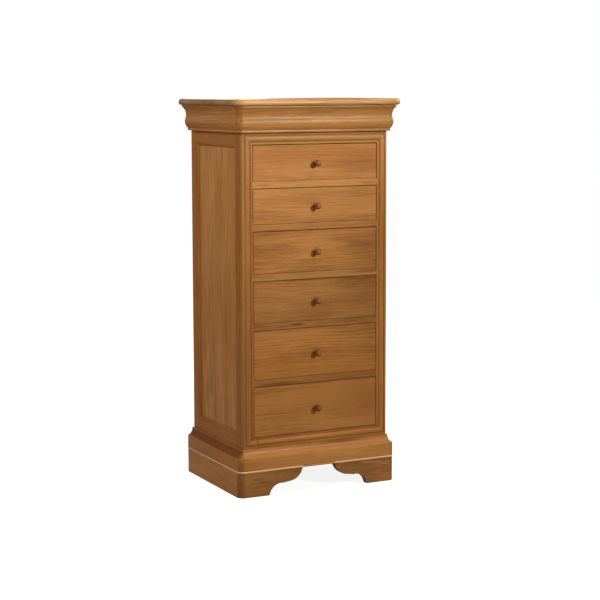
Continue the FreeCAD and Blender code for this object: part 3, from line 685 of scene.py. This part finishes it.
# ---------------------------------------------------------------- face frame
# Four moulded members, mitred and glued, let into the front posts: a rounded outer band, a torus
# between two quirks and an inner flat. The upper member is of a paler board, like the top.
MEMBER = [(0, -14), (0, 1.5, -2.5), (2.5, 4), (9, 4), (9, 2.5), (11, 2.5, -11.525), (30, 2.5),
          (32, 2.5), (32, 4), (39, 4), (39, -14)]
MEMBER_ARRIS = 0.0004
PALER_WOOD = dict(light=(0.648, 0.340, 0.125), dark=(0.340, 0.148, 0.031),
                  red=(0.488, 0.208, 0.050))
PIN_KNOT = mark(-0.2245, 0.187, 0.0045, 0.0095, 0.85, y=-0.2)
MEMBERS = {
    "left": dict(along="z", across="x", seed=61.7, tint=0.80),
    "top": dict(along="x", across="z", seed=60.7, **PALER_WOOD),
    "right": dict(along="z", across="x", seed=62.7, tint=0.90),
    "bottom": dict(along="x", across="z", seed=63.7, marks=[PIN_KNOT]),
}
# Painted shade, under the cornice on the top member and by the gap under the lowest drawer on the
# bottom member: the inset from the outer edge of a member, and how dark it is.
PAINTED_SHADE_STRIPS = {"top": (-0.001, 0.0095, 0.8), "bottom": (0.0385, 0.040, 1.6)}


def paint_shade_strip(bm, matrix, nearest, furthest, depth):
    """Paints shade on a strip along a member: under the cornice, and by the gap under the lowest
    drawer.
    """
    stain_and_shade, back = bm.verts.layers.float["stain_and_shade"], matrix.inverted()
    for vert in bm.verts:
        if nearest < (back @ vert.co).x < furthest:
            vert[stain_and_shade] = depth


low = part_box("face_frame_left")[0]
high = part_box("face_frame_right")[1]
for name, matrix, length in frame_bars(Vector((low.x, FRONT_Y, low.z)), AXES["x"], AXES["z"],
                                       -AXES["y"], high.x - low.x, high.z - low.z):
    bm = bmesh.new()
    mitred_bar(bm, section_points(MEMBER), matrix, length)
    if name in PAINTED_SHADE_STRIPS:
        paint_shade_strip(bm, matrix, *PAINTED_SHADE_STRIPS[name])
    close_and_ease(bm, MEMBER_ARRIS)
    finish = wood(f"frame {name}", ring=0.006, figured=0.7, gloss=0.02, shine=0.16,
                  **MEMBERS[name])
    piece(f"frame_{name}", bm, finish, "case", [f"face_frame_{name}"])


# ---------------------------------------------------------------- drawer fronts
# Solid boards with eased edges and level grain, each a little different in figure, dovetailed to
# their sides. The CAD solids carry the dovetail sockets, so the boards are cut from them.
FRONTS = {
    1: dict(seed=61.4, tint=0.99, ring=0.016, figured=0.8),
    2: dict(seed=64.7, tint=0.97, ring=0.013, figured=1.1),
    3: dict(seed=65.9, tint=0.98, ring=0.008, figured=1.5),
    4: dict(seed=63.1, tint=0.89, ring=0.009, figured=1.2),
    5: dict(seed=67.9, tint=1.09, ring=0.012, figured=0.9),
    6: dict(seed=69.2, tint=0.94, ring=0.014, figured=1.6),
}
# The broad marks over the right end of each front are painted shade, darker towards the right; the
# narrow ones are gum streaks.
FRONT_STREAKS_AND_SHADE = {
    1: [mark(0.17, 1.13, 0.16, 0.07, 0.23)],
    2: [mark(0.17, 1.0, 0.13, 0.05, 0.19)],
    3: [mark(-0.17, 0.895, 0.10, 0.007, 0.22), mark(0.25, 0.845, 0.25, 0.14, 0.31)],
    4: [mark(0.25, 0.655, 0.24, 0.13, 0.36)],
    5: [mark(0.25, 0.470, 0.26, 0.14, 0.30), mark(-0.05, 0.47, 0.04, 0.006, 0.2)],
    6: [mark(0.25, 0.290, 0.26, 0.14, 0.34), mark(0.19, 0.27, 0.05, 0.006, 0.25)],
}
KNOB_DROP = 0.00315
CLEAR_OF_KNOB = 0.1
ROUND_KNOB = 0.03
KNOB_RINGS = 3


def front_board(number):
    """The board of a drawer front, without the plain knob that the CAD solid carries."""
    bm = bmesh.new()
    bm.from_mesh(nodes[f"drawer_{number}_front"].data)
    bmesh.ops.remove_doubles(bm, verts=bm.verts, dist=WELD)
    face = min(vert.co.y for vert in bm.verts if abs(vert.co.x) > CLEAR_OF_KNOB)
    knob = {vert for vert in bm.verts if vert.co.y < face - LEVEL_WITHIN}
    for _ in range(KNOB_RINGS):
        beside = {edge.other_vert(vert) for vert in knob for edge in vert.link_edges}
        knob |= {vert for vert in beside if abs(vert.co.x) < ROUND_KNOB}
    bmesh.ops.delete(bm, geom=list(knob), context="VERTS")
    bmesh.ops.dissolve_limit(bm, angle_limit=math.radians(1), verts=bm.verts, edges=bm.edges)
    return bm


def knob_level(number):
    """The height of a knob, a little below the middle of its front."""
    low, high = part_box(f"drawer_{number}_front")
    return (low.z + high.z) / 2 - KNOB_DROP


for number in FRONTS:
    # Painted shade lies round the foot of each knob, where the knob shadows its front.
    shade_round_knob = mark(0, knob_level(number), 0.019, 0.018, 0.7)
    finish = wood(f"drawer front {number}", "x", "z", wander=0.07,
                  marks=FRONT_STREAKS_AND_SHADE[number] + [shade_round_knob], **FRONTS[number])
    piece(f"drawer_front_{number}", front_board(number), finish, f"drawer_{number}",
          [f"drawer_{number}_front"], smooth_below=20)


# ---------------------------------------------------------------- drawer boxes
# Sides, backs and bottoms are of plain pale wood, planed smooth and dovetailed at the front.
BOX_PARTS = (("sides", "y", "z", 71.0, 0.009), ("back", "x", "z", 81.0, 0.009),
             ("bottom", "x", "y", 91.0, 0.02))
for number in FRONTS:
    for part, along, across, seed, ring in BOX_PARTS:
        finish = wood(f"drawer {part} {number}", along, across, seed=seed + number, ring=ring,
                      **PALE_WOOD)
        dress(f"drawer_{number}_{part}", finish)
dress("cornice_drawer_box", wood("cornice drawer box", "y", "z", seed=78.0, **PALE_WOOD))
dress("cornice_drawer_bottom", wood("cornice drawer bottom", "x", "y", seed=98.0, ring=0.02,
                                    **PALE_WOOD))


# ---------------------------------------------------------------- knobs
# Turned from the same wood, with a waisted neck, a rounded rim and a domed crown; painted shade
# darkens the neck and rim, and the crown, which faces the light, gets less of it. Each is glued to
# its front, a little below the middle.
KNOB = [(0, 0), (5.6, 0), (5.7, 1.5), (5.5, 3.5, -22), (6.1, 9.5, -14), (9.4, 15.4),
        (10.4, 16.6, 2.4), (10.95, 18.7, 7), (8.9, 25.3, 13.5), (0, 28.95)]
KNOB_ARC_STEP = 0.8
FRONT_THICKNESS = 0.020
# How deep the painted shade lies on the body of a knob and on its crown.
KNOB_SHADE = 1.6
CROWN_SHADE = 0.7
CROWN_RADIUS = 0.0075
CROWN_FROM = 0.0255


def turned_knob(seat):
    """A knob turned about an axis that points forwards from its seat on the front."""
    bm = bmesh.new()
    stain_and_shade = bm.verts.layers.float.new("stain_and_shade")
    profile = []
    for point in section_points(KNOB, KNOB_ARC_STEP):
        profile.append(bm.verts.new(seat + Vector((point.x, -point.y, 0))))
        crown = point.y > CROWN_FROM and point.x < CROWN_RADIUS
        profile[-1][stain_and_shade] = CROWN_SHADE if crown else KNOB_SHADE
    edges = [bm.edges.new(pair) for pair in zip(profile, profile[1:])]
    bmesh.ops.spin(bm, geom=profile + edges, cent=seat, axis=(0, 1, 0), angle=math.tau, steps=48,
                   use_merge=True)
    bmesh.ops.remove_doubles(bm, verts=bm.verts, dist=WELD)
    bmesh.ops.recalc_face_normals(bm, faces=bm.faces)
    return bm


for number in FRONTS:
    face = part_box(f"drawer_{number}_front")[1].y - FRONT_THICKNESS
    knob = turned_knob(Vector((0, face, knob_level(number))))
    finish = wood(f"knob {number}", "y", "z", seed=101.0 + number, tint=0.95, ring=0.004)
    piece(f"turned_knob_{number}", knob, finish, f"drawer_{number}", [f"drawer_{number}_front"],
          smooth_below=50)


# ---------------------------------------------------------------- cornice
# Lip, bulge, hollow and fillet worked on one thick moulding. The front length is the face of the
# seventh drawer and parts from the side lengths on the axis of each corner.
CORNICE = [(0, 0), (14, 0), (14, 8), (13, 8, 30), (22.905, 43.016, -34), (35.99, 84), (35.99, 89),
           (0, 89)]
SIDE_CORNICE = CORNICE[:-2] + [(35.99, 90), (0, 90)]
CORNER_CORE = 0.0005
CORNICE_WOOD = dict(light=(0.580, 0.270, 0.078), dark=(0.300, 0.120, 0.020), turned=0.45)
cornice_foot, cornice_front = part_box("cornice_left")[0].z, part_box("cornice_left")[0].y

length = wrapped_moulding(CORNICE, cornice_foot, CORNER_CORE)
close_and_ease(length)
finish = wood("cornice front", "x", "z", seed=111.0, ring=0.010, wander=0.04, **CORNICE_WOOD)
piece("cornice_front", length, finish, "cornice_drawer", ["cornice_drawer_front"])
for turn, (side, way) in enumerate(SIDES.items()):
    length = side_moulding(SIDE_CORNICE, cornice_foot, REAR_Y, cornice_front, way)
    close_and_ease(length)
    finish = wood(f"cornice {side}", "y", "z", seed=113.0 + turn, tint=0.92, ring=0.010,
                  gloss=0.0, shine=0.12)
    piece(f"cornice_side_{side}", length, finish, "case", [f"cornice_{side}"])


# ---------------------------------------------------------------- top board
# Glued up from three boards, with a bullnose worked on the front and both ends. The end grain
# drinks more stain than the front edge.
TOP_CORNER, UPPER_ROUND, LOWER_ROUND = 0.048, 0.0125, 0.0085
END_STAIN = 1.1
BEVELLED = dict(profile=0.5, affect="EDGES", material=-1)

low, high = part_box("top_board")
bm = bmesh.new()
bmesh.ops.create_cube(bm, size=1.0)
bmesh.ops.scale(bm, verts=bm.verts, vec=high - low)
bmesh.ops.translate(bm, verts=bm.verts, vec=(low + high) / 2)
corners = [edge for edge in bm.edges
           if all(vert.co.y < 0 for vert in edge.verts)
           and abs(edge.verts[0].co.z - edge.verts[1].co.z) > (high.z - low.z) / 2]
bmesh.ops.bevel(bm, geom=corners, offset=TOP_CORNER, segments=18, **BEVELLED)
for level, size in ((high.z, UPPER_ROUND), (low.z, LOWER_ROUND)):
    rim = [edge for edge in bm.edges
           if all(abs(vert.co.z - level) < WELD for vert in edge.verts)
           and not all(abs(vert.co.y - high.y) < WELD for vert in edge.verts)]
    bmesh.ops.bevel(bm, geom=rim, offset=size, segments=9, **BEVELLED)
stain_and_shade = bm.verts.layers.float.new("stain_and_shade")
for vert in bm.verts:
    if low.z + LEVEL_WITHIN < vert.co.z < high.z - LEVEL_WITHIN:
        vert[stain_and_shade] = END_STAIN * sidewards(vert.co, high.x - TOP_CORNER, low.y + TOP_CORNER)
finish = wood("top board", "x", "y", seed=121.0, ring=0.016, wander=0.05, board=0.163,
              gloss=0.1, shine=0.2, **PALER_WOOD)
piece("top", bm, finish, "case", ["top_board"], smooth_below=40)


# ---------------------------------------------------------------- floor and background
# A sheet of pale studio paper on the floor runs out into a plain white background.
PAPER_HALF = 14
PAPER_GREY = (0.50, 0.50, 0.50, 1)
PAPER_NEAR, PAPER_FAR = (0.4, 0.87), (2.6, 1.0)
WHITE = (1, 1, 1, 1)
ROOM_LIGHT = 0.02

bm = bmesh.new()
bmesh.ops.create_grid(bm, x_segments=1, y_segments=1, size=PAPER_HALF)
sheet = bpy.data.meshes.new("floor")
bm.to_mesh(sheet)
bm.free()
floor = bpy.data.objects.new("floor", sheet)
bpy.context.scene.collection.objects.link(floor)
floor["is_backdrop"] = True

paper = bpy.data.materials.new("studio paper")
paper.use_nodes = True
tree = paper.node_tree
shader = tree.nodes["Principled BSDF"]
shader.inputs["Base Color"].default_value = PAPER_GREY
shader.inputs["Roughness"].default_value = 0.9
shader.inputs["Specular IOR Level"].default_value = 0.0
seen = place(tree, "ShaderNodeLightPath").outputs["Is Camera Ray"]
spread = calc_vector(tree, "LENGTH", place(tree, "ShaderNodeTexCoord").outputs["Object"])
fade = {0: spread, 1: PAPER_NEAR[0], 2: PAPER_FAR[0], 3: PAPER_NEAR[1], 4: PAPER_FAR[1]}
white = place(tree, "ShaderNodeMapRange", fade, interpolation_type="SMOOTHSTEP").outputs[0]
glow = place(tree, "ShaderNodeEmission", {"Color": WHITE, "Strength": scaled(tree, seen, white)})
both = place(tree, "ShaderNodeAddShader", {0: shader.outputs[0], 1: glow.outputs[0]})
tree.links.new(both.outputs[0], tree.nodes["Material Output"].inputs["Surface"])
sheet.materials.append(paper)

world = bpy.data.worlds.new("studio")
bpy.context.scene.world = world
world.use_nodes = True
tree = world.node_tree
paths = place(tree, "ShaderNodeLightPath").outputs
plain = calc(tree, "MAXIMUM", paths["Is Camera Ray"], paths["Is Transmission Ray"])
strength = place(tree, "ShaderNodeMapRange", {0: plain, 3: ROOM_LIGHT, 4: 1.0}).outputs[0]
tree.links.new(strength, tree.nodes["Background"].inputs["Strength"])
tree.nodes["Background"].inputs["Color"].default_value = WHITE


# ---------------------------------------------------------------- lamps
# Two narrow key lamps stand far off to the right, softboxes hang over the top and on the left, and
# weak ones light the sides that face away.
def spotlight(name, angle, radius):
    """A lamp with a soft-edged cone; the radius of its bulb sets how soft the shadows are."""
    made = bpy.data.lights.new(name, "SPOT")
    made.spot_size = math.radians(angle)
    made.spot_blend = 1.0
    made.shadow_soft_size = radius
    return made


def softbox(name, size):
    """A square lamp."""
    made = bpy.data.lights.new(name, "AREA")
    made.size = size
    return made


KEY_SPOT = (2.6, -6.2, 3.3)
LAMPS = (
    # lamp, where it stands, what it points at, watts
    (spotlight("key lamp", 40, 0.13), KEY_SPOT, (0, 0, 1.0), 880),
    (spotlight("upper key lamp", 22, 0.13), KEY_SPOT, (-0.3, 0, 1.9), 950),
    (softbox("top lamp", 0.6), (0.9, -0.8, 3.0), (0, 0, 1.35), 14),
    (softbox("upper left lamp", 1.1), (-2.1, -0.7, 2.1), (-0.3, 0, 1.28), 25),
    (softbox("left lamp", 1.1), (-3.0, -1.0, 1.0), (0, 0, 0.7), 5),
    (softbox("rear left lamp", 1.1), (-1.5, 2.8, 2.0), (0, 0, 0.9), 9),
    (softbox("right lamp", 1.2), (2.6, 0.1, 2.0), (0, 0, 0.7), 30),
    (softbox("rear lamp", 1.2), (0.6, 2.8, 2.1), (0, 0, 0.7), 30),
)
for data, spot, target, power in LAMPS:
    data.energy = power
    lamp = bpy.data.objects.new(data.name, data)
    lamp.location = spot
    lamp.rotation_euler = (Vector(target) - Vector(spot)).to_track_quat("-Z", "Y").to_euler()
    bpy.context.scene.collection.objects.link(lamp)


# ---------------------------------------------------------------- camera
# It stands to the left of the front, a little above the top board, and looks slightly down.
CAMERA_SPOT = (-2.502, -5.1134, 1.389)
YAW, PITCH, ROLL = (math.radians(angle) for angle in (-26.393, 90 - 6.24, -0.143))
view = bpy.data.cameras.new("view")
view.lens = 97.01
view.sensor_width = 36
view.shift_y = -0.06
camera = bpy.data.objects.new("view", view)
camera.location = CAMERA_SPOT
camera.rotation_euler = (Matrix.Rotation(YAW, 3, "Z") @ Matrix.Rotation(PITCH, 3, "X")
                         @ Matrix.Rotation(ROLL, 3, "Z")).to_euler()
bpy.context.scene.collection.objects.link(camera)
bpy.context.scene.camera = camera
bpy.context.scene.view_settings.view_transform = "Standard"

low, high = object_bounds()
